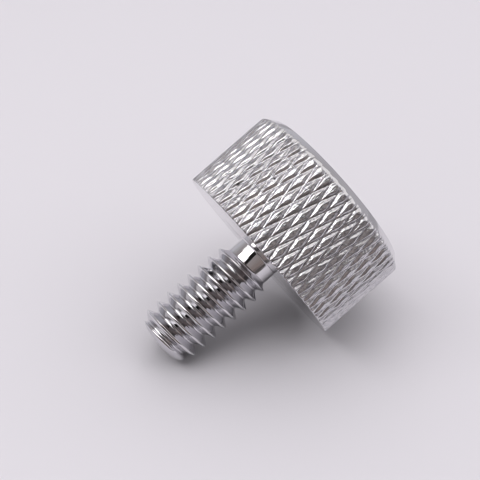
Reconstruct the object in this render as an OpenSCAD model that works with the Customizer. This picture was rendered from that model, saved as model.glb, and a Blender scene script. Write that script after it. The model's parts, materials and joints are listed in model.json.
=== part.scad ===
// Knurled thumb screw with a quarter-inch, 20 threads per inch, right-hand shank.
// The screw stands on the flat end of its head: that face lies on z = 0 and the shank points up.

/* [Head] */
// Diameter over the knurl
head_d = 19.05; // [17:0.05:22]
// Thickness of the head
head_t = 9.525; // [8:0.025:12]
// Width of the outer chamfer, measured across the end face
rim_w = 0.95; // [0.5:0.05:1.4]
// Height of the outer chamfer, measured along the axis
rim_h = 0.80; // [0.5:0.05:1.2]
// Width of the small bevel round the clamping face
edge_w = 0.12; // [0.05:0.01:0.3]

/* [Knurl] */
// Number of grooves of each hand round the head
knurl_n = 58; // [40:2:72]
// Angle between a groove and the axis
knurl_angle = 16.3; // [12:0.1:30]
// Depth of the grooves
knurl_depth = 0.2; // [0.15:0.01:0.4]
// Part of each diamond's width that is left as a flat top
knurl_top = 0.5; // [0.1:0.05:0.7]
// Height of the first ring of groove crossings above the end face
knurl_z = 1.2; // [1:0.05:1.5]

/* [Shank] */
// Length from the clamping face to the end of the shank
shank_l = 12.4; // [10:0.1:16]
// Diameter of the smooth neck under the head
neck_d = 4.6; // [4:0.01:4.65]
// Length of the smooth neck
neck_l = 1.5; // [1:0.05:2.5]
// Radius of the fillet between the neck and the clamping face
neck_fillet = 0.12; // [0.1:0.01:0.4]
// Radius that rounds the end of the shank
tip_r = 1.65; // [0.8:0.05:1.8]

/* [Thread] */
// Major diameter, over the crests
thread_d = 6.22; // [6.12:0.01:6.32]
// Pitch, which is also the rise of each turn
thread_p = 1.27; // [1:0.01:1.5]
// Length over which the first turn runs up to its full height
runout_l = 1.9; // [1:0.05:2.5]
// Height of the crest above the end face where the helix crosses the +X side
thread_z = 10.6; // [9.6:0.01:10.8]

/* [Hidden] */
$fn = 96;

// Head
head_r = head_d / 2;
total_h = head_t + shank_l;

// Knurl: half a diamond is one column wide and one row high
knurl_cols = 2 * knurl_n;
col_a = 360 / knurl_cols;
row_h = PI * head_d / knurl_cols / tan(knurl_angle);
knurl_rows = ceil((head_t - knurl_z) / row_h) + 2;
// Radius of the grid's corners in a groove, and of those where a full pyramid would have its point
groove_r = head_r - knurl_depth;
point_r = groove_r + knurl_depth / (1 - knurl_top);

// Thread: a 60 degree form with a crest flat and a root flat of p/8
crest_w = thread_p / 8;
root_w = thread_p / 8;
flank_h = (thread_p - crest_w - root_w) / 2 / tan(30);
crest_r = thread_d / 2;
root_r = crest_r - flank_h;
neck_r = neck_d / 2;
neck_top = head_t + neck_l;
steps = 40;
turns = ceil((total_h - thread_z) / thread_p) + 1;
tooth_sink = 0.1;
eps = 0.01;

// A closed solid from rings of equal length, the first ring lowest; low and high ends are flat.
module ring_solid(points, rings, n) {
    sides = [for (j = [0:rings - 2], i = [0:n - 1])
        let (k = (i + 1) % n, a = j * n + i, b = j * n + k, c = a + n, d = b + n)
        // each cell is split along the line that joins its two low corners
        each ((i + j) % 2 == 1) ? [[a, c, d], [a, d, b]] : [[a, c, b], [c, d, b]]];
    bottom = [for (i = [0:n - 1]) i];
    top = [for (i = [n - 1:-1:0]) (rings - 1) * n + i];
    polyhedron(concat(points), concat(sides, [bottom], [top]), convexity = 4);
}

// Full pyramids of the knurl, which stand proud of the head: corners of the grid are low and high by turns.
module knurled_cylinder() {
    points = [for (j = [0:knurl_rows - 1], i = [0:knurl_cols - 1])
        let (r = (i + j) % 2 == 1 ? groove_r : point_r, t = i * col_a)
        [r * cos(t), r * sin(t), knurl_z + (j - 1) * row_h]];
    ring_solid(points, knurl_rows, knurl_cols);
}

// The turned blank of the head with its two bevels; its side leaves the diamonds their flat tops.
module head_blank() {
    rotate_extrude()
        polygon([[0, 0], [head_r - rim_w, 0], [head_r, rim_h],
                 [head_r, head_t - edge_w], [head_r - edge_w, head_t], [0, head_t]]);
}

module head() {
    intersection() {
        knurled_cylinder();
        head_blank();
    }
}

// Smooth relief under the thread, filleted into the clamping face
module neck() {
    rotate_extrude()
        difference() {
            translate([0, head_t - eps]) square([neck_r + neck_fillet, neck_l + 2 * eps]);
            translate([neck_r + neck_fillet, head_t + neck_fillet]) circle(neck_fillet);
            translate([neck_r, head_t + neck_fillet]) square([1, neck_l]);
        }
}

// One tooth of the thread, carried along the helix as a closed strip
module thread_tooth() {
    n = turns * steps;
    points = [for (i = [0:n])
        let (t = 360 * i / steps, z = thread_z - thread_p + thread_p * i / steps,
             foot = (thread_p - root_w) / 2 + tooth_sink * tan(30))
        each [for (q = [[root_r - tooth_sink, -foot], [crest_r, -crest_w / 2],
                        [crest_r, crest_w / 2], [root_r - tooth_sink, foot]])
            [q.x * cos(t), q.x * sin(t), z + q.y]]];
    sides = [for (i = [0:n - 1], k = [0:3])
        let (a = 4 * i + k, b = 4 * i + (k + 1) % 4)
        each [[a, b, a + 4], [b, b + 4, a + 4]]];
    polyhedron(points, concat(sides, [[3, 2, 1, 0]], [[4 * n, 4 * n + 1, 4 * n + 2, 4 * n + 3]]),
               convexity = 10);
}

// Space that the threaded length may fill: a run-out cone at the neck and a rounded end
module shank_blank() {
    rotate_extrude()
        intersection() {
            union() {
                polygon([[0, neck_top], [neck_r, neck_top], [crest_r - 0.3, neck_top + 0.3],
                         [crest_r, neck_top + runout_l], [crest_r, total_h - tip_r], [0, total_h - tip_r]]);
                translate([0, total_h - tip_r - eps]) square([crest_r - tip_r, tip_r + eps]);
                translate([crest_r - tip_r, total_h - tip_r]) circle(tip_r);
            }
            square([crest_r, total_h]);
        }
}

module threaded_shank() {
    intersection() {
        union() {
            translate([0, 0, neck_top - eps]) cylinder(r = root_r, h = total_h - neck_top + 1);
            thread_tooth();
        }
        shank_blank();
    }
}

module thumb_screw() {
    color("silver") {
        head();
        neck();
        threaded_shank();
    }
}

thumb_screw();
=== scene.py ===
"""A knurled thumb screw: its turned, knurled and threaded skin, its plating, and a small studio round it."""
import json
import math

import bpy
import numpy as np
from bpy.props import FloatProperty, FloatVectorProperty, IntProperty, PointerProperty, StringProperty
from mathutils import Matrix, Vector


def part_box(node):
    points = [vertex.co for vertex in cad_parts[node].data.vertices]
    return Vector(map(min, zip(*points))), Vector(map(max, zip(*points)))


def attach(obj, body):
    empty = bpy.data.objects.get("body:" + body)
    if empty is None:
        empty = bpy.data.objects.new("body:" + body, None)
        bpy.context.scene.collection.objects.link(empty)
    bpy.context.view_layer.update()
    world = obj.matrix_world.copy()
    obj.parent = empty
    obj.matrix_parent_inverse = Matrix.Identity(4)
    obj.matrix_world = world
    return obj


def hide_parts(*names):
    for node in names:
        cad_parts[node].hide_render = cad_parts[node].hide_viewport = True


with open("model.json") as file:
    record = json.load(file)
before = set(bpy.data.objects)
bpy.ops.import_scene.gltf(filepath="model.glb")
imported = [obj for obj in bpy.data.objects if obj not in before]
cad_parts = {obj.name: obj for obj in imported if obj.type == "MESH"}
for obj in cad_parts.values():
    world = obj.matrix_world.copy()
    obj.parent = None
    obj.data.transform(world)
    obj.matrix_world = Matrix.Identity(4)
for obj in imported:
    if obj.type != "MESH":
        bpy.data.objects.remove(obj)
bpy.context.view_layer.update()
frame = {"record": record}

bl_info = {
    "name": "Knurled Thumb Screw",
    "version": (1, 0, 0),
    "blender": (4, 5, 0),
    "location": "3D View > Sidebar > Thumb Screw",
    "description": "Makes a plated, diamond-knurled thumb screw lying in a small studio",
    "category": "Add Mesh",
}

MM = 0.001
MOUNTS = {mount["name"]: mount for mount in frame["record"]["mounts"]}
LOW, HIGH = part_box("thumb_screw")
HEAD_R = (HIGH.x - LOW.x) / 2
HEAD_T = MOUNTS["clamp_face"]["pos_m"][2]
SCREW_L = HIGH.z - LOW.z
THREAD_R = MOUNTS["shank_thread"]["dims"]["r_mm"] * MM

# Grid of the surface: steps across one half diamond of the knurl, how many of their columns make one column
# of the plain parts, and where a flat face has its inner ring, as a share of its radius
KNURL_STEPS = 8
COLUMNS_EACH = 4
FACE_RING = 0.6
# Heights across one pitch, as shares of it from one crest's middle to the next, closer at the corners
THREAD_STATIONS = np.array([0, .04, .06, .08, .25, .42, .44, .46, .5, .54, .56, .58, .75, .92, .94, .96])
# The thread starts in a short cone: how far it dips below the neck's top, and how far it reaches above
CONE_DIP = 0.1 * MM
CONE_RISE = 0.3 * MM

# Damage to the thread: azimuth in degrees, height, size and depth in millimetres
NICKS = ((324, 13.90, 0.17, 0.32), (312, 13.45, 0.14, 0.20), (303, 13.20, 0.12, 0.14),
         (195, 12.56, 0.40, 0.22), (197, 13.83, 0.32, 0.18))
# Specks of dirt in the knurl, then dark patches painted into the nicks as their shade: azimuth in degrees,
# radius, height and size in millimetres
DIRT_AND_NICK_SHADE_SPOTS = ((308.5, 9.45, 7.05, 0.21), (295.5, 9.45, 4.43, 0.16),
          (324, 3.00, 13.90, 0.50), (319, 2.62, 13.40, 0.55),
          (311, 2.75, 13.40, 0.36), (307, 2.71, 13.91, 0.50))

# Table round the pale floor, as left, near, right and far sides in metres from where the head touches it
APRON_AREAS = ((-0.4, -0.4, 0.4, -0.031),)
SURROUND_AREAS = ((0.06, -0.031, 0.4, 0.4), (-0.4, 0.1, 0.06, 0.4), (-0.4, -0.031, -0.1, 0.1))
# Tones round the room: degrees from the viewer's side towards the right, and the setting with the colour
ROOM_TONES = ((-120, "walls"), (-85, "walls"), (-60, "corner"), (-14, "corner"), (-6, "room"), (20, "room"),
              (27, "corner"), (38, "corner"), (46, "window"), (140, "window"), (168, "walls"))


# ---------------------------------------------------------------- properties

class ThumbScrewHead(bpy.types.PropertyGroup):
    """Sizes of the head and its knurl"""
    rim_w: FloatProperty(name="Rim Width", description="Width of the outer chamfer across the end face",
                         default=0.95 * MM, min=0, unit="LENGTH", precision=5)
    rim_h: FloatProperty(name="Rim Height", description="Height of the outer chamfer along the axis",
                         default=0.80 * MM, min=0, unit="LENGTH", precision=5)
    rim_r: FloatProperty(name="Rim Radius", description="Radius between the end face and the outer chamfer",
                         default=0.1 * MM, min=0, unit="LENGTH", precision=5)
    edge_w: FloatProperty(name="Edge Bevel", description="Bevel round the clamping face, at the points",
                          default=0.12 * MM, min=0, unit="LENGTH", precision=5)
    edge_least: FloatProperty(name="Edge Break", description="Bevel round the clamping face, in the grooves",
                              default=0.03 * MM, min=0, unit="LENGTH", precision=5)
    knurl_n: IntProperty(name="Knurl Count", description="Grooves of each hand round the head",
                         default=58, min=8)
    knurl_angle: FloatProperty(name="Knurl Angle", description="Angle between a groove and the axis",
                               default=math.radians(16.3), subtype="ANGLE")
    knurl_depth: FloatProperty(name="Knurl Depth", description="Depth of the grooves below the flat tops",
                               default=0.20 * MM, min=0, unit="LENGTH", precision=5)
    knurl_top: FloatProperty(name="Knurl Flat", description="Part of each diamond's width left as a flat top",
                             default=0.5, min=0.1, max=0.9, subtype="FACTOR")
    knurl_z: FloatProperty(name="Knurl Height", description="First ring of diamonds above the end face",
                           default=1.2 * MM, min=0, unit="LENGTH", precision=5)
    uneven: FloatProperty(name="Unevenness", description="How much the diamonds' heights differ, as a share",
                          default=0.04, min=0, max=0.5, subtype="FACTOR")


class ThumbScrewShank(bpy.types.PropertyGroup):
    """Sizes of the neck, the thread and the rounded end"""
    neck_r: FloatProperty(name="Neck Radius", description="Radius of the smooth neck under the head",
                          default=2.3 * MM, min=0, unit="LENGTH", precision=5)
    neck_l: FloatProperty(name="Neck Length", description="Length of the smooth neck",
                          default=1.5 * MM, min=0, unit="LENGTH", precision=5)
    fillet: FloatProperty(name="Neck Fillet", description="Radius between the neck and the clamping face",
                          default=0.12 * MM, min=0, unit="LENGTH", precision=5)
    pitch: FloatProperty(name="Pitch", description="Rise of the thread in one turn",
                         default=1.27 * MM, min=0, unit="LENGTH", precision=5)
    crest_z: FloatProperty(name="Crest Height", description="Height of a crest on the +X side",
                           default=10.6 * MM, min=0, unit="LENGTH", precision=5)
    runout_l: FloatProperty(name="Run-out", description="Length over which the first turn gains full height",
                            default=1.9 * MM, min=0, unit="LENGTH", precision=5)
    tip_r: FloatProperty(name="Tip Radius", description="Radius that rounds the end of the shank",
                         default=1.65 * MM, min=0, unit="LENGTH", precision=5)


class ThumbScrewFinish(bpy.types.PropertyGroup):
    """Plating, the film and dirt on it, both of which also carry painted shade, and the marks of turning,
    knurling and threading
    """
    plate: StringProperty(name="Plating", description="Colour of the bright plating", default="#DDDCDE")
    # Colour of the film, mixed in most thickly in the knurl's grooves and towards the thread's roots as
    # painted shade
    film_and_groove_shade: StringProperty(name="Grime", description="Colour of the film on the knurl and the thread",
                          default="#A6A6AE")
    # Colour of the knurl's specks of dirt, also painted into the nicks as their shade
    dirt_and_nick_shade: StringProperty(name="Dirt", description="Colour of the specks of dirt", default="#3C393C")
    # Painted shade: the film is thicker in the grooves than on the walls, to darken them
    groove_film_and_shade: FloatProperty(name="Groove Film", description="How thick the film is in the knurl's grooves",
                               default=0.9, min=0, max=1, subtype="FACTOR")
    wall_film: FloatProperty(name="Wall Film", description="How thick the film is on the knurl's walls",
                             default=0.5, min=0, max=1, subtype="FACTOR")
    top_film: FloatProperty(name="Top Film", description="How thick the film is on the knurl's flat tops",
                            default=0.75, min=0, max=1, subtype="FACTOR")
    # Painted shade: the film darkens the thread's flanks towards the root
    flank_film_and_shade: FloatProperty(name="Flank Film", description="How thick the film is on the thread's flanks",
                              default=0.25, min=0, max=1, subtype="FACTOR")
    neck_rough: FloatProperty(name="Neck Roughness", description="Roughness of the neck",
                              default=0.03, min=0, max=1, subtype="FACTOR")
    face_rough: FloatProperty(name="Face Roughness", description="Roughness of the turned faces and chamfer",
                              default=0.12, min=0, max=1, subtype="FACTOR")
    rolled_rough: FloatProperty(name="Rolled Roughness", description="Roughness of the thread",
                                default=0.02, min=0, max=1, subtype="FACTOR")
    wall_rough: FloatProperty(name="Wall Roughness", description="Roughness of the knurl's walls",
                              default=0.25, min=0, max=1, subtype="FACTOR")
    top_rough: FloatProperty(name="Top Roughness", description="Roughness of the knurl's flat tops",
                             default=0.25, min=0, max=1, subtype="FACTOR")
    streak_size: FloatProperty(name="Streak Width", description="Width of the fine streaks along the screw",
                               default=0.15 * MM, min=0, unit="LENGTH", precision=5)
    streak_ratio: FloatProperty(name="Streak Ratio", description="How many times as long as wide a streak is",
                                default=12.5, min=1)
    streak_depth: FloatProperty(name="Streak Depth", description="Depth of the streaks on the neck",
                                default=0.012 * MM, min=0, unit="LENGTH", precision=6)
    grain_size: FloatProperty(name="Grain Size", description="Size of the grain that pressing leaves",
                              default=0.2 * MM, min=0, unit="LENGTH", precision=5)
    grain_depth: FloatProperty(name="Grain Depth", description="Depth of the knurl's grain and streaks",
                               default=0.023 * MM, min=0, unit="LENGTH", precision=6)
    thread_line: FloatProperty(name="Thread Lines", description="Width of the lines along the thread's helix",
                               default=0.1 * MM, min=0, unit="LENGTH", precision=5)
    thread_depth: FloatProperty(name="Thread Line Depth", description="Depth of the thread's lines and grain",
                                default=0.002 * MM, min=0, unit="LENGTH", precision=6)
    mark_pitch: FloatProperty(name="Turning Marks", description="Feed of the turning tool from mark to mark",
                              default=0.2 * MM, min=0, unit="LENGTH", precision=5)
    mark_depth: FloatProperty(name="Mark Depth", description="Depth of the turning marks on the shank",
                              default=0.0015 * MM, min=0, unit="LENGTH", precision=6)
    face_marks: FloatProperty(name="Face Marks", description="Depth of the marks on faces and chamfer",
                              default=0.005 * MM, min=0, unit="LENGTH", precision=6)


class ThumbScrewStudio(bpy.types.PropertyGroup):
    """Floor, view, lights and the room that the metal reflects"""
    floor: StringProperty(name="Floor Colour", description="Colour of the pale floor", default="#DEDADF")
    floor_size: FloatProperty(name="Floor Size", description="Side of the square floor",
                              default=1, min=0, unit="LENGTH")
    rest_side: FloatProperty(name="Resting Side", description="Azimuth of the edge that touches the floor",
                             default=math.radians(132.35), subtype="ANGLE")
    view_turn: FloatProperty(name="View Turn", description="From the shank's way to the view's, on the floor",
                             default=math.radians(-119.95), subtype="ANGLE")
    view_drop: FloatProperty(name="View Drop", description="How far the camera looks down on the floor",
                             default=math.radians(37.26), subtype="ANGLE")
    aim: FloatVectorProperty(name="Aim", description="Point that the camera looks at",
                             default=(2.26 * MM, 0, 9.82 * MM), unit="LENGTH", precision=5)
    distance: FloatProperty(name="Distance", description="From the camera to the point that it looks at",
                            default=98.13 * MM, unit="LENGTH", precision=5)
    lens: FloatProperty(name="Lens", description="Focal length on a sensor 36 mm wide", default=77.74)
    light_up: FloatProperty(name="Light Height", description="From the screw up to the softbox and the panel",
                            default=0.3, unit="LENGTH")
    strip_turn: FloatProperty(name="Softbox Turn", description="Turn of the softbox from across the view",
                              default=math.radians(-35), subtype="ANGLE")
    strip_size: FloatVectorProperty(name="Softbox Size", description="Length and width of the softbox",
                                    size=2, default=(0.465, 0.156), unit="LENGTH")
    strip_place: FloatVectorProperty(name="Softbox Place", description="From above the screw, right and away",
                                     size=2, default=(-0.145, -0.115), unit="LENGTH")
    strip_power: FloatProperty(name="Softbox Power", description="Power of the softbox",
                               default=0.6, unit="POWER")
    panel_size: FloatVectorProperty(name="Panel Size", description="Size of the dim panel, across and away",
                                    size=2, default=(1.005, 0.615), unit="LENGTH")
    panel_place: FloatVectorProperty(name="Panel Place", description="From above the screw, right and away",
                                     size=2, default=(0.3975, 0.0525), unit="LENGTH")
    panel_power: FloatProperty(name="Panel Power", description="Power of the dim panel",
                               default=1.12, unit="POWER")
    card: StringProperty(name="Card Colour", description="Colour of the black card", default="#161414")
    card_drop: FloatProperty(name="Card Drop", description="How far the card hangs below the lights",
                             default=0.01, unit="LENGTH")
    card_sides: FloatVectorProperty(name="Card Sides", description="Left, near, right and far side",
                                    size=4, default=(-0.3, -0.316, 0.18, -0.176), unit="LENGTH")
    table_gap: FloatProperty(name="Table Gap", description="How far the reflected table lies above the floor",
                             default=0.2 * MM, unit="LENGTH", precision=5)
    apron: StringProperty(name="Apron", description="Colour of the dark table edge in front",
                          default="#4A4443")
    surround: StringProperty(name="Surround", description="Colour of the table beyond the pale floor",
                             default="#A8A6AA")
    ceiling: StringProperty(name="Ceiling", description="Colour of the ceiling round the lights",
                            default="#9C9696")
    walls_end: FloatProperty(name="Walls End", description="Sine of the elevation where the walls end",
                             default=0.25, min=-1, max=1)
    ceiling_start: FloatProperty(name="Ceiling Start", description="Sine of the elevation where it starts",
                                 default=0.7, min=-1, max=1)
    walls: StringProperty(name="Walls", description="Colour of the walls beyond the table", default="#C8C7CD")
    window: StringProperty(name="Bright Side", description="Colour of the bright wall on the right",
                           default="#BAB7BC")
    room: StringProperty(name="Dim Room", description="Colour of the dim room behind the camera",
                         default="#8B7F7C")
    corner: StringProperty(name="Dark Corner", description="Colour of the room's dark corners",
                           default="#716866")
    fill: StringProperty(name="Fill", description="Colour of the even light that the floor gets",
                         default="#D2D1D4")
    backdrop: StringProperty(name="Backdrop", description="Colour that the camera sees past the floor",
                             default="#E0DEE3")


# ---------------------------------------------------------------- surface

def knurl_radius(a, b, head, wobble):
    """Radius of the knurl at a half diamonds round the head and b half diamonds up from the first ring.
    Grooves run where a + b and where a - b is even. Across each family a wall climbs evenly from 0 in the
    groove towards 1 midway to the next, the lower of the two is a pyramid, and all above its flat top is cut
    away. Two square roots ease the pyramid's corners and the top's edge. wobble lowers each diamond by its
    own small share."""
    u, v = (a + b) / 2, (a - b) / 2
    wall_u, wall_v = 2 * np.abs(u - np.round(u)), 2 * np.abs(v - np.round(v))
    corner, edge = 0.04, 0.06
    wall = (wall_u + wall_v - np.sqrt((wall_u - wall_v) ** 2 + corner ** 2)) / 2
    wall = (np.sqrt(np.clip(wall, 0, None) ** 2 + corner ** 2) - corner / 2) / (1 - head.knurl_top)
    height = (wall + 1 - np.sqrt((wall - 1) ** 2 + edge ** 2)) / 2
    column = np.floor(u + v).astype(int) % wobble.shape[0]
    row = np.floor(u - v).astype(int) % wobble.shape[1]
    height = height * (1 + wobble[column, row])
    return HEAD_R - head.knurl_depth * (1 - np.clip(height, 0, 1))


def rim_height(steps, head, row_h, wobble):
    """Where the chamfer meets the knurl in each column: halving the interval until cone and knurl agree."""
    low, high = np.zeros_like(steps), np.full_like(steps, head.rim_h)
    halvings = 30
    for _ in range(halvings):
        middle = (low + high) / 2
        cone = HEAD_R - head.rim_w * (1 - middle / head.rim_h)
        outside = knurl_radius(steps, (middle - head.knurl_z) / row_h, head, wobble) > cone
        low, high = np.where(outside, middle, low), np.where(outside, high, middle)
    return (low + high) / 2


def revolve(radius, height, angle):
    """Points at the given radii, heights and azimuths, as an array of x, y and z."""
    radius, height, angle = np.broadcast_arrays(radius, height, angle)
    return np.stack([radius * np.cos(angle), radius * np.sin(angle), height], axis=-1)


class Skin:
    """Gathers points and triangles of one closed surface."""

    def __init__(self):
        self.points, self.faces, self.count = [], [], 0

    def add(self, points):
        """Stores points of any grid shape and returns their numbers in the same shape."""
        flat = points.reshape(-1, 3)
        numbers = self.count + np.arange(len(flat)).reshape(points.shape[:-1])
        self.points.append(flat)
        self.count += len(flat)
        return numbers

    def split(self, a, b, c, d, other=None):
        """Two triangles for each quad a, b, c, d, cut from a to c, or from b to d where other is true."""
        a, b, c, d = (x.ravel() for x in (a, b, c, d))
        other = np.zeros(len(a), bool) if other is None else other.ravel()
        plain = ~other
        self.faces += [np.stack(t, axis=-1) for t in (
            (a[plain], b[plain], c[plain]), (a[plain], c[plain], d[plain]),
            (a[other], b[other], d[other]), (b[other], c[other], d[other]))]

    def belt(self, rings, other=None):
        """Closes each ring onto the next one up, all with the same number of columns."""
        turned = np.roll(rings, -1, axis=1)
        self.split(rings[:-1], turned[:-1], turned[1:], rings[1:], other)

    def widen(self, few, many):
        """Joins a ring of few points to one with a whole number of times as many, below or outside it."""
        each = len(many) // len(few)
        near = np.repeat(few, each)
        self.faces.append(np.stack([many, np.roll(many, -1), near], axis=-1))
        self.faces.append(np.stack([np.roll(many, -1)[each - 1::each], np.roll(few, -1), few], axis=-1))

    def narrow(self, few, many):
        """Joins a ring of few points to one with more that lies above or outside it."""
        each = len(many) // len(few)
        near = np.repeat(few, each)
        self.faces.append(np.stack([near, np.roll(many, -1), many], axis=-1))
        self.faces.append(np.stack([few, np.roll(few, -1), np.roll(many, -1)[each - 1::each]], axis=-1))

    def cap(self, ring, centre, up):
        """Closes a ring onto a pole."""
        pole = np.full(len(ring), self.add(np.array([centre]))[0])
        turned = np.roll(ring, -1)
        self.faces.append(np.stack([ring, turned, pole] if up else [turned, ring, pole], axis=-1))


def head_surface(skin, head):
    """The end face, the chamfer, the knurl and the outer part of the clamping face.
    Returns the numbers of the last ring, which lies on the clamping face."""
    columns = 2 * head.knurl_n * KNURL_STEPS
    steps = np.arange(columns) / KNURL_STEPS
    angle = steps * math.pi / head.knurl_n
    row_h = math.pi * HEAD_R / head.knurl_n / math.tan(head.knurl_angle)
    rng = np.random.default_rng(seed=7)
    wobble_rows = 16
    wobble = -np.abs(rng.normal(0, head.uneven, (2 * head.knurl_n, wobble_rows)))

    # End face and the rounded edge of the chamfer
    face_r = HEAD_R - head.rim_w
    inner = skin.add(revolve(FACE_RING * face_r, 0, angle[::COLUMNS_EACH]))
    skin.cap(inner, (0, 0, 0), up=False)
    turn = math.atan2(head.rim_h, head.rim_w)
    back = head.rim_r * math.tan(turn / 2)
    bend = np.linspace(0, turn, 4)[:, None]
    edge = revolve(face_r - back + head.rim_r * np.sin(bend), head.rim_r * (1 - np.cos(bend)), angle)
    edge = skin.add(edge)
    skin.narrow(inner, edge[0])
    skin.belt(edge)

    # Chamfer, up to the scalloped line where the knurl starts
    start = rim_height(steps, head, row_h, wobble)
    edge_top = head.rim_r * (1 - math.cos(turn))
    share = np.array([1 / 3, 2 / 3, 1])[:, None]
    z = edge_top + share * (start - edge_top)
    cone = skin.add(revolve(HEAD_R - head.rim_w * (1 - z / head.rim_h), z, angle))
    skin.belt(np.concatenate([edge[-1:], cone]))

    # Knurl: two rings that lead from the scallops to the first ring of diamonds, then even rings
    share = np.array([1 / 3, 2 / 3])[:, None]
    lead = start + share * (head.knurl_z - start)
    top_step = int((HEAD_T - head.edge_w - head.knurl_z) / row_h * KNURL_STEPS)
    rises = np.arange(top_step + 1)[:, None] / KNURL_STEPS
    even = np.broadcast_to(head.knurl_z + rises * row_h, (len(rises), columns))
    z = np.concatenate([lead, even])
    b = (z - head.knurl_z) / row_h
    knurl = skin.add(revolve(knurl_radius(steps, b, head, wobble), z, angle))
    rings = np.concatenate([cone[-1:], knurl])

    # Each quad is cut the way that the groove through its half diamond runs
    bounds = np.concatenate([start[None], z])
    tiny = 1e-6
    cell_b = np.floor(((bounds[1:] + bounds[:-1]) / 2 - head.knurl_z) / row_h + tiny).astype(int)
    cell_a = np.floor(steps + tiny).astype(int)
    skin.belt(rings, (cell_a + cell_b) % 2 == 1)

    # Broken edge of the clamping face: widest at the points, least in the grooves
    top_b = (HEAD_T - head.knurl_z) / row_h
    top_r = knurl_radius(steps, np.full(columns, top_b), head, wobble)
    point = 1 - (HEAD_R - top_r) / head.knurl_depth
    width = head.edge_least + (head.edge_w - head.edge_least) * point
    bend = np.radians([0, 30, 60, 90])[:, None]
    edge = skin.add(revolve(top_r - width * (1 - np.cos(bend)), HEAD_T - width * (1 - np.sin(bend)), angle))
    skin.belt(np.concatenate([knurl[-1:], edge]))
    outer = skin.add(revolve(HEAD_R - 2 * head.knurl_depth, HEAD_T, angle))
    skin.belt(np.stack([edge[-1], outer]))
    return outer


def thread_radius(z, angle, shank):
    """Radius of the threaded shank. The tooth falls from the crest's edge to the root in a 60 degree form,
    with flats of an eighth of the pitch at both and their corners eased by a square root. The first turn
    grows with height, the end is cut by a quarter circle, and each nick is a pit that fades with the square
    of the distance by an exponential."""
    flat = shank.pitch / 8
    flank = shank.pitch / 2 - flat
    root_r = THREAD_R - flank / math.tan(math.radians(30))
    phase = (z - shank.crest_z) / shank.pitch - angle / (2 * math.pi)
    across = np.abs(phase - np.round(phase)) * shank.pitch
    ramp = (shank.pitch / 2 - flat / 2 - across) / flank
    ease = 0.03
    rise = (np.sqrt(ramp ** 2 + ease ** 2) + ramp - np.sqrt((ramp - 1) ** 2 + ease ** 2) - (ramp - 1)) / 2

    # Most of the tooth's height comes in the cone, and the rest by the end of the run-out
    neck_top = HEAD_T + shank.neck_l
    cone_share = 0.7
    levels = [neck_top - CONE_DIP, neck_top + CONE_RISE, neck_top + shank.runout_l]
    grown = np.interp(z, levels, [0, cone_share, 1])
    radius = root_r + (THREAD_R - root_r) * rise * grown
    settle_l = 0.2 * MM
    settle = np.interp(z, [neck_top - settle_l, neck_top + settle_l], [0, 1])
    radius = shank.neck_r + (radius - shank.neck_r) * settle

    up = np.clip(z - (SCREW_L - shank.tip_r), 0, shank.tip_r)
    limit = THREAD_R - shank.tip_r + np.sqrt(shank.tip_r ** 2 - up ** 2)
    radius = np.minimum(radius, limit)
    spared = 0.02 * MM
    for azimuth, level, size, depth in NICKS:
        turn = np.angle(np.exp(1j * (angle - math.radians(azimuth)))) * THREAD_R
        away = (turn ** 2 + (z - level * MM) ** 2) / (size * MM) ** 2
        radius = radius - depth * MM * np.exp(-away) * (radius > root_r + spared)
    return radius


def tip_height(z, shank):
    """Packs the helix's last turns onto the rounded end: past the point where the thread is cut away, the
    angle round the quarter circle nears a right angle by an exponential, with no kink."""
    centre = SCREW_L - shank.tip_r
    packed_l = 0.62 * MM
    from_z = SCREW_L - packed_l
    start = math.asin((from_z - centre) / shank.tip_r)
    last = math.radians(88)
    rate = 1 / (shank.tip_r * math.cos(start))
    past = np.clip(z - from_z, 0, None)
    turned = start + (last - start) * (1 - np.exp(-rate * past / (last - start)))
    return np.where(z < from_z, z, centre + shank.tip_r * np.sin(turned))


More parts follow.
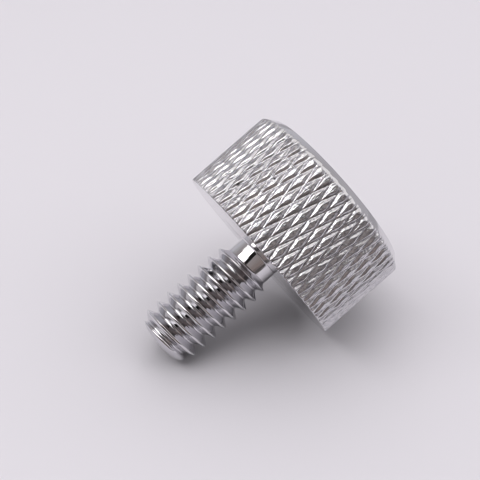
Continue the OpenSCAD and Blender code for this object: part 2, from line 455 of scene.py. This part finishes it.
def shank_surface(skin, outer, shank):
    """The rest of the clamping face, the neck, the thread as one spiral strip, and the end of the shank."""
    angle = np.arange(0, len(outer), COLUMNS_EACH) * 2 * math.pi / len(outer)
    inner = skin.add(revolve(FACE_RING * HEAD_R, HEAD_T, angle))
    skin.widen(inner, outer)
    bend = np.radians([0, 22.5, 45, 67.5, 90])[:, None]
    z = HEAD_T + shank.fillet * (1 - np.cos(bend))
    fillet = skin.add(revolve(shank.neck_r + shank.fillet * (1 - np.sin(bend)), z, angle))
    skin.belt(np.concatenate([inner[None], fillet]))

    # Spiral strip: each row climbs one pitch in a turn, so a column's end meets the row one pitch up
    each = len(THREAD_STATIONS)
    first = each // 2
    turns = math.ceil((SCREW_L + 2 * shank.pitch - shank.crest_z) / shank.pitch)
    rows = np.arange(first, first + turns * each + 1)
    height = shank.crest_z - shank.pitch + shank.pitch * (rows // each + THREAD_STATIONS[rows % each])
    z = tip_height(height[:, None] + shank.pitch * angle / (2 * math.pi), shank)
    strip = skin.add(revolve(thread_radius(z, angle, shank), z, angle))
    skin.split(strip[:-1, :-1], strip[:-1, 1:], strip[1:, 1:], strip[1:, :-1])
    skin.split(strip[:-1 - each, -1], strip[each:-1, 0], strip[each + 1:, 0], strip[1:-each, -1])

    # Neck below the strip, and its wedge at the seam
    base = fillet[-1]
    skin.split(base[:-1], base[1:], strip[0, 1:], strip[0, :-1])
    seam = np.concatenate([[base[0]], strip[:each + 1, 0]])
    skin.faces.append(np.stack([np.full(each + 1, strip[0, -1]), seam[:-1], seam[1:]], axis=-1))
    skin.faces.append(np.array([[base[-1], base[0], strip[0, -1]]]))

    # Flat end above the strip, and its wedge at the seam
    end = skin.add(revolve(THREAD_R - shank.tip_r, SCREW_L, angle))
    skin.split(strip[-1, :-1], strip[-1, 1:], end[1:], end[:-1])
    seam = np.concatenate([strip[-1 - each:, -1], [end[-1]]])
    skin.faces.append(np.stack([seam[:-1], np.full(each + 1, strip[-1, 0]), seam[1:]], axis=-1))
    skin.faces.append(np.array([[strip[-1, 0], end[0], end[-1]]]))
    skin.cap(end, (0, 0, SCREW_L), up=True)


def mesh_object(name, skin, material):
    """A smooth-shaded object at the origin, with its place in its mesh."""
    mesh = bpy.data.meshes.new(name)
    mesh.from_pydata(np.concatenate(skin.points).tolist(), [], np.concatenate(skin.faces).tolist())
    mesh.validate()
    mesh.shade_smooth()
    mesh.materials.append(material)
    piece = bpy.data.objects.new(name, mesh)
    bpy.context.scene.collection.objects.link(piece)
    return piece


# ---------------------------------------------------------------- finish

def linear(colour):
    """Linear RGBA from an sRGB hex value."""
    values = [int(colour[i:i + 2], 16) / 255 for i in (1, 3, 5)]
    return [v / 12.92 if v <= 0.04045 else ((v + 0.055) / 1.055) ** 2.4 for v in values] + [1]


def node(tree, kind, inputs=(), **settings):
    """Adds a shader node with its settings, and gives its inputs, by name or in order, a value or a link.
    A node given to an input links its first output."""
    new = tree.nodes.new("ShaderNode" + kind)
    for key, value in settings.items():
        setattr(new, key, value)
    for key, value in inputs.items() if isinstance(inputs, dict) else enumerate(inputs):
        if isinstance(value, bpy.types.Node):
            value = value.outputs[0]
        if isinstance(value, bpy.types.NodeSocket):
            tree.links.new(value, new.inputs[key])
        else:
            new.inputs[key].default_value = value
    return new


def plated_steel(finish, head, shank):
    """Steel bar, turned, knurled and threaded, then plated bright: a near-white metal, close to a mirror on
    the neck and the thread, satin with fine rings where the faces were turned, and satin with grain and grey
    film where the knurl was pressed in, thickest as painted shade in its grooves and on the thread's flanks
    towards the roots. Heights of the relief are in millimetres."""
    material = bpy.data.materials.new("bright_plated_steel")
    material.use_nodes = True
    tree = material.node_tree
    place = node(tree, "TexCoord").outputs["Object"]
    x, y, height = node(tree, "SeparateXYZ", (place,)).outputs
    flat = node(tree, "VectorMath", (place, (1, 1, 0)), operation="MULTIPLY")
    radius = node(tree, "VectorMath", (flat,), operation="LENGTH").outputs["Value"]

    # Where it was knurled: outside the grooves' bottom, between the chamfer and the clamping face
    fade = 0.05 * MM
    groove_r = HEAD_R - head.knurl_depth
    outside = node(tree, "MapRange", (radius, groove_r - 2 * fade, groove_r))
    below_face = node(tree, "MapRange", (height, HEAD_T, HEAD_T - head.edge_w))
    above_rim = node(tree, "MapRange", (height, head.rim_h - fade, head.rim_h + fade))
    knurled = node(tree, "Math", (outside, below_face), operation="MULTIPLY")
    knurled = node(tree, "Math", (knurled, above_rim), operation="MULTIPLY")
    top_low, top_high = HEAD_R - 0.04 * MM, HEAD_R - 0.01 * MM
    tops = node(tree, "MapRange", (radius, top_low, top_high))
    tops = node(tree, "Math", (knurled, tops), operation="MULTIPLY")

    # Where it was threaded, and the heights between which the clamping face turns into the neck
    neck_top = HEAD_T + shank.neck_l
    threaded = node(tree, "MapRange", (height, neck_top - CONE_DIP, neck_top + CONE_RISE))
    neck_start = (HEAD_T, HEAD_T + shank.fillet)

    # Turning marks: rings in z - r, which runs along the neck and across the faces and the chamfer alike.
    # The real feed is about 0.1 mm, drawn coarser so that it shows
    run = node(tree, "Math", (height, radius), operation="SUBTRACT")
    run = node(tree, "Math", (run, finish.mark_pitch), operation="DIVIDE")
    rings = node(tree, "TexNoise", {"W": run, "Scale": 1, "Detail": 3}, noise_dimensions="1D")
    depth = node(tree, "MapRange", (height, *neck_start, finish.face_marks / MM, finish.mark_depth / MM))
    marks = node(tree, "Math", (rings, depth), operation="MULTIPLY")

    # Streaks that run along the screw, from drawing the bar and from the knurling wheels: on the neck, where
    # they fade out into the thread, and with the grain in the knurl
    drawn = node(tree, "VectorMath", (place, (1, 1, 1 / finish.streak_ratio)), operation="MULTIPLY")
    streaks = node(tree, "TexNoise", {"Vector": drawn, "Scale": 1 / finish.streak_size, "Detail": 2})
    grain = node(tree, "TexNoise", {"Vector": place, "Scale": 1 / finish.grain_size, "Detail": 1})
    necked = node(tree, "MapRange", (height, *neck_start))
    depth = node(tree, "MapRange", (threaded, 0, 1, finish.streak_depth / MM, 0))
    depth = node(tree, "Math", (necked, depth), operation="MULTIPLY")
    lines = node(tree, "Math", (streaks, depth), operation="MULTIPLY")
    depth = node(tree, "Math", (knurled, finish.grain_depth / MM), operation="MULTIPLY")
    pressed = node(tree, "Math", (streaks, grain), operation="ADD")
    pressed = node(tree, "Math", (pressed, depth), operation="MULTIPLY")

    # Lines that run round with the thread: noise across the pitch, in the share of it above the helix
    turn = node(tree, "Math", (y, x), operation="ARCTAN2")
    turn = node(tree, "Math", (turn, 2 * math.pi), operation="DIVIDE")
    climb = node(tree, "Math", (height, shank.crest_z), operation="SUBTRACT")
    climb = node(tree, "Math", (climb, shank.pitch), operation="DIVIDE")
    share = node(tree, "Math", (climb, turn), operation="SUBTRACT")
    share = node(tree, "Math", (share,), operation="FRACT")
    across = node(tree, "Math", (share, shank.pitch / finish.thread_line), operation="MULTIPLY")
    helical = node(tree, "TexNoise", {"W": across, "Scale": 1, "Detail": 1}, noise_dimensions="1D")
    depth = node(tree, "Math", (threaded, finish.thread_depth / MM), operation="MULTIPLY")
    crinkles = node(tree, "Math", (grain, helical), operation="ADD")
    crinkles = node(tree, "Math", (crinkles, depth), operation="MULTIPLY")

    smooth_relief = node(tree, "Math", (marks, lines), operation="ADD")
    formed_relief = node(tree, "Math", (pressed, crinkles), operation="ADD")
    relief = node(tree, "Math", (smooth_relief, formed_relief), operation="ADD")
    bump = node(tree, "Bump", {"Strength": 1, "Distance": MM, "Height": relief})

    # A thin film in patches over the knurl's grooves, walls and tops, greyer on the tops, and faint on the
    # thread's flanks. It is thickest in the grooves and grows on the flanks towards the roots, which is
    # painted shade
    groove_edge = groove_r + 0.08 * MM
    # Painted shade: the film grows from the walls' share to the larger share in the groove bottoms
    film_and_shade = node(tree, "MapRange", (radius, groove_edge, groove_r, finish.wall_film, finish.groove_film_and_shade))
    greyer_tops = node(tree, "Math", (tops, finish.top_film), operation="MULTIPLY")
    film_and_shade = node(tree, "Math", (film_and_shade, greyer_tops), operation="MAXIMUM")
    film_and_shade = node(tree, "Math", (knurled, film_and_shade), operation="MULTIPLY")
    patch_low, patch_high = 0.46, 0.62
    patches = node(tree, "MapRange", (grain, patch_low, patch_high))
    film_and_shade = node(tree, "Math", (film_and_shade, patches), operation="MULTIPLY")
    # Painted shade on the thread: none at the crests, growing towards the roots
    flank_high, flank_low = THREAD_R - 0.1 * MM, THREAD_R - 0.2 * MM
    flanks = node(tree, "MapRange", (radius, flank_high, flank_low, 0, finish.flank_film_and_shade))
    flanks = node(tree, "Math", (threaded, flanks), operation="MULTIPLY")
    film_and_shade = node(tree, "Math", (film_and_shade, flanks), operation="MAXIMUM")
    colours = {"Factor": film_and_shade, 6: linear(finish.plate), 7: linear(finish.film_and_groove_shade)}
    colour = node(tree, "Mix", colours, data_type="RGBA").outputs[2]

    # Specks of dirt in the knurl, and dark patches that paint shade into the nicks: solid near the middle and
    # ragged with the grain
    ragged_low, ragged_high, solid = 0.3, 0.42, 0.3
    ragged = node(tree, "MapRange", (grain, ragged_low, ragged_high))
    for azimuth, out, level, size in DIRT_AND_NICK_SHADE_SPOTS:
        side = math.radians(azimuth)
        spot = (out * MM * math.cos(side), out * MM * math.sin(side), level * MM)
        away = node(tree, "VectorMath", (place, spot), operation="DISTANCE").outputs["Value"]
        cover = node(tree, "MapRange", (away, size * MM, solid * size * MM))
        cover = node(tree, "Math", (cover, ragged), operation="MULTIPLY")
        colours = {"Factor": cover, 6: colour, 7: linear(finish.dirt_and_nick_shade)}
        colour = node(tree, "Mix", colours, data_type="RGBA").outputs[2]

    # Roughness: the turned parts' own gives way to the thread's, and the knurl's stands over both
    turned = node(tree, "MapRange", (height, *neck_start, finish.face_rough, finish.neck_rough))
    formed = node(tree, "Math", (knurled, threaded), operation="MAXIMUM")
    rough = node(tree, "MapRange", (formed, 0, 1, turned, finish.rolled_rough))
    walls = node(tree, "Math", (knurled, finish.wall_rough), operation="MULTIPLY")
    tops = node(tree, "Math", (tops, finish.top_rough), operation="MULTIPLY")
    satin = node(tree, "Math", (walls, tops), operation="MAXIMUM")
    rough = node(tree, "Math", (rough, satin), operation="MAXIMUM")

    shader = tree.nodes["Principled BSDF"]
    shader.inputs["Metallic"].default_value = 1
    tree.links.new(colour, shader.inputs["Base Color"])
    tree.links.new(rough.outputs[0], shader.inputs["Roughness"])
    tree.links.new(bump.outputs[0], shader.inputs["Normal"])
    return material


# ---------------------------------------------------------------- studio

def floor_axes(shank, studio):
    """Right across the view, ahead along the floor, up from it, and the point where the head touches it.
    The screw lies on the edge of its clamping face and on its rounded end, so the floor is the tangent from
    that edge to the end's quarter circle. Ahead is the shank's way along it, turned by the view's angle."""
    out = HEAD_R - (THREAD_R - shank.tip_r)
    along = SCREW_L - shank.tip_r - HEAD_T
    tilt = math.atan2(out, along) - math.asin(shank.tip_r / math.hypot(out, along))
    side = Vector((math.cos(studio.rest_side), math.sin(studio.rest_side), 0))
    axis = Vector((0, 0, 1))
    up = -math.cos(tilt) * side - math.sin(tilt) * axis
    run = math.cos(tilt) * axis - math.sin(tilt) * side
    ahead = math.cos(studio.view_turn) * run + math.sin(studio.view_turn) * up.cross(run)
    return ahead.cross(up), ahead, up, HEAD_R * side + HEAD_T * axis


def dull_paint(name, colour, roughness=0.5):
    """Paint or card of one colour, without gloss, so that it gives the screw an even tone to reflect."""
    material = bpy.data.materials.new(name)
    material.use_nodes = True
    shader = material.node_tree.nodes["Principled BSDF"]
    shader.inputs["Base Color"].default_value = linear(colour)
    shader.inputs["Roughness"].default_value = roughness
    return material


def flat_object(name, material, origin, right, ahead, areas):
    """Part of the stage: rectangles in one plane, each given by its left, near, right and far side."""
    corners = [origin + x * right + y * ahead for x0, y0, x1, y1 in areas
               for x, y in ((x0, y0), (x1, y0), (x1, y1), (x0, y1))]
    mesh = bpy.data.meshes.new(name)
    mesh.from_pydata(corners, [], [tuple(range(4 * i, 4 * i + 4)) for i in range(len(areas))])
    mesh.materials.append(material)
    flat = bpy.data.objects.new(name, mesh)
    bpy.context.scene.collection.objects.link(flat)
    return flat


def pale_floor(studio):
    """Matt pale paper, solid from the screw's side and clear from below, so that it hides nothing there."""
    material = dull_paint("pale_floor", studio.floor, roughness=0.9)
    tree = material.node_tree
    below = node(tree, "NewGeometry").outputs["Backfacing"]
    clear = node(tree, "BsdfTransparent")
    mix = node(tree, "MixShader", (below, tree.nodes["Principled BSDF"], clear))
    tree.links.new(mix.outputs[0], tree.nodes["Material Output"].inputs["Surface"])
    return material


def area_light(name, centre, axes, size, power):
    """A rectangular light with its sides along the first two axes, shining against the third."""
    light = bpy.data.lights.new(name, "AREA")
    light.shape = "RECTANGLE"
    light.size, light.size_y = size
    light.energy = power
    lamp = bpy.data.objects.new(name, light)
    lamp.matrix_world = Matrix.Translation(centre) @ Matrix(axes).transposed().to_4x4()
    bpy.context.scene.collection.objects.link(lamp)


def room_world(studio, right, ahead, up):
    """Plain walls and ceiling as the screw reflects them: a tone for each bearing, and the ceiling's above.
    The floor gets an even fill instead, and the camera sees only the backdrop's colour."""
    world = bpy.data.worlds.new("studio_room")
    world.use_nodes = True
    tree = world.node_tree
    place = node(tree, "TexCoord").outputs["Generated"]
    to_right, to_viewer, to_top = [
        node(tree, "VectorMath", (place, line), operation="DOT_PRODUCT").outputs["Value"]
        for line in (right, -ahead, up)]
    bearing = node(tree, "Math", (to_right, to_viewer), operation="ARCTAN2")
    ramp = node(tree, "ValToRGB", (node(tree, "MapRange", (bearing, -math.pi, math.pi)),))
    stops = ramp.color_ramp.elements
    stops.remove(stops[1])
    for degrees, tone in ROOM_TONES:
        stop = stops.new((degrees + 180) / 360)
        stop.color = linear(getattr(studio, tone))
    stops.remove(stops[0])
    high = node(tree, "MapRange", (to_top, studio.walls_end, studio.ceiling_start))
    ray = node(tree, "LightPath").outputs
    colours = {"Factor": high, 6: ramp, 7: linear(studio.ceiling)}
    seen = node(tree, "Mix", colours, data_type="RGBA").outputs[2]
    colours = {"Factor": ray["Is Diffuse Ray"], 6: seen, 7: linear(studio.fill)}
    seen = node(tree, "Mix", colours, data_type="RGBA").outputs[2]
    colours = {"Factor": ray["Is Camera Ray"], 6: seen, 7: linear(studio.backdrop)}
    seen = node(tree, "Mix", colours, data_type="RGBA").outputs[2]
    tree.links.new(seen, tree.nodes["Background"].inputs["Color"])
    return world


# ---------------------------------------------------------------- operators

class MESH_OT_thumb_screw(bpy.types.Operator):
    """Make the thumb screw in one closed piece, from its end face to the end of its shank"""
    bl_idname = "mesh.thumb_screw"
    bl_label = "Thumb Screw"

    def execute(self, context):
        scene = context.scene
        skin = Skin()
        outer = head_surface(skin, scene.thumb_screw_head)
        shank_surface(skin, outer, scene.thumb_screw_shank)
        steel = plated_steel(scene.thumb_screw_finish, scene.thumb_screw_head, scene.thumb_screw_shank)
        piece = mesh_object("thumb_screw_body", skin, steel)
        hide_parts("thumb_screw")
        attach(piece, "root")
        return {"FINISHED"}


class OBJECT_OT_thumb_screw_studio(bpy.types.Operator):
    """Add the pale floor that the screw lies on, the soft lights and the camera"""
    bl_idname = "object.thumb_screw_studio"
    bl_label = "Studio"

    def execute(self, context):
        scene = context.scene
        studio = scene.thumb_screw_studio
        right, ahead, up, contact = floor_axes(scene.thumb_screw_shank, studio)
        half = studio.floor_size / 2
        flat_object("floor", pale_floor(studio), contact, right, ahead, ((-half, -half, half, half),))

        # A narrow softbox and a wide dim panel above, and a black card along the softbox's near edge
        top = Vector(studio.aim) + studio.light_up * up
        along = math.cos(studio.strip_turn) * right + math.sin(studio.strip_turn) * ahead
        beside = math.cos(studio.strip_turn) * ahead - math.sin(studio.strip_turn) * right
        middle = top + studio.strip_place[0] * right + studio.strip_place[1] * ahead
        area_light("softbox", middle, (along, beside, up), studio.strip_size, studio.strip_power)
        middle = top + studio.panel_place[0] * right + studio.panel_place[1] * ahead
        area_light("dim_panel", middle, (right, ahead, up), studio.panel_size, studio.panel_power)
        black = dull_paint("black_card", studio.card)
        hook = top - studio.card_drop * up
        card = flat_object("black_card", black, hook, right, ahead, (studio.card_sides,))
        card.visible_camera = False

        # Table round the pale floor, dark in front, which only the screw's reflections show
        foot = contact + studio.table_gap * up
        for name, colour, areas in (("dark_apron", studio.apron, APRON_AREAS),
                                    ("grey_surround", studio.surround, SURROUND_AREAS)):
            table = flat_object(name, dull_paint(name, colour), foot, right, ahead, areas)
            table.visible_camera = False
            table.visible_diffuse = False
            table.visible_shadow = False

        # Colours come out as given, reflections of reflections in the thread stay as sharp as the first, fine
        # grain stays crisp, and the metal throws no light into the shadow where it touches the floor
        scene.world = room_world(studio, right, ahead, up)
        scene.view_settings.view_transform = "Standard"
        scene.cycles.blur_glossy = 0
        scene.cycles.filter_width = 1
        scene.cycles.caustics_reflective = False

        # Camera
        forward = math.cos(studio.view_drop) * ahead - math.sin(studio.view_drop) * up
        camera = bpy.data.cameras.new("camera")
        camera.lens = studio.lens
        camera.sensor_width = 36
        camera.clip_start = MM
        viewer = bpy.data.objects.new("camera", camera)
        turn = Matrix([right, right.cross(forward), -forward]).transposed().to_4x4()
        viewer.matrix_world = Matrix.Translation(Vector(studio.aim) - studio.distance * forward) @ turn
        scene.collection.objects.link(viewer)
        scene.camera = viewer
        return {"FINISHED"}


class VIEW3D_PT_thumb_screw(bpy.types.Panel):
    """Settings of the screw and its studio, with a button for each"""
    bl_label = "Thumb Screw"
    bl_space_type = "VIEW_3D"
    bl_region_type = "UI"
    bl_category = "Thumb Screw"

    def draw(self, context):
        for group in GROUPS:
            settings = getattr(context.scene, group)
            column = self.layout.column(heading=group.replace("_", " ").title())
            for name in settings.__annotations__:
                column.prop(settings, name)
        self.layout.operator(MESH_OT_thumb_screw.bl_idname)
        self.layout.operator(OBJECT_OT_thumb_screw_studio.bl_idname)


GROUPS = {
    "thumb_screw_head": ThumbScrewHead,
    "thumb_screw_shank": ThumbScrewShank,
    "thumb_screw_finish": ThumbScrewFinish,
    "thumb_screw_studio": ThumbScrewStudio,
}
CLASSES = (*GROUPS.values(), MESH_OT_thumb_screw, OBJECT_OT_thumb_screw_studio, VIEW3D_PT_thumb_screw)


def register():
    for cls in CLASSES:
        bpy.utils.register_class(cls)
    for name, group in GROUPS.items():
        setattr(bpy.types.Scene, name, PointerProperty(type=group))


def unregister():
    for name in GROUPS:
        delattr(bpy.types.Scene, name)
    for cls in reversed(CLASSES):
        bpy.utils.unregister_class(cls)


def main():
    """Makes the screw and its studio."""
    register()
    bpy.ops.mesh.thumb_screw()
    bpy.ops.object.thumb_screw_studio()


if __name__ == "__main__":
    main()
